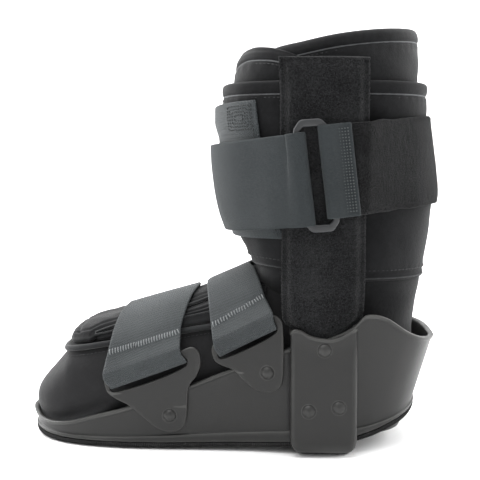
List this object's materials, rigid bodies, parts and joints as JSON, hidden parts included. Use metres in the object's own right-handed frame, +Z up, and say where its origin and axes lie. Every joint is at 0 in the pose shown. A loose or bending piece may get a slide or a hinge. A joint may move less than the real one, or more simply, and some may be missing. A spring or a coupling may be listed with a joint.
{
  "type": "medical walking boot",
  "caption": "Short medical walking boot: moulded rocker-sole shell, padded soft boot, covered uprights, a ringed leg strap and foot straps held by slotted brackets.",
  "frame": {"origin": "middle of the boot's box, on the floor under the sole", "axes": "+X from the toe to the heel, +Z up, the side with the ring faces -Y"},
  "size_m": [0.2442, 0.1298, 0.2444],
  "materials": {
    "sole_rubber": "matt, finely ribbed",
    "shell_plastic": "satin with a faint grain",
    "ring_plastic": "satin",
    "liner_cloth": "soft brushed cloth",
    "fleece": "brushed loop cloth",
    "webbing": "woven tape",
    "rivet": "satin domed heads"
  },
  "bodies": {
    "root": {"outsole": "sole_rubber", "shell": "shell_plastic", "liner": "liner_cloth", "toe_binding": "liner_cloth", "foot_flap_far": "liner_cloth", "foot_flap_near": "liner_cloth", "front_flap": "liner_cloth", "calf_wrap": "liner_cloth", "closure_panel": "webbing", "upright_near": "fleece", "upright_far": "fleece", "leg_strap_front": "webbing", "leg_strap_rear": "fleece", "ring_tab": "webbing", "ring": "ring_plastic", "forefoot_bracket_near": "shell_plastic", "forefoot_bracket_far": "shell_plastic", "instep_bracket_near": "shell_plastic", "instep_bracket_far": "shell_plastic", "forefoot_strap": "webbing", "instep_strap": "webbing", "rivet_pocket_top_near": "rivet", "rivet_pocket_top_far": "rivet", "rivet_pocket_front_near": "rivet", "rivet_pocket_front_far": "rivet", "rivet_pocket_back_near": "rivet", "rivet_pocket_back_far": "rivet", "rivet_forefoot_near": "rivet", "rivet_forefoot_far": "rivet", "rivet_instep_near": "rivet", "rivet_instep_far": "rivet"}
  },
  "joints": []
}
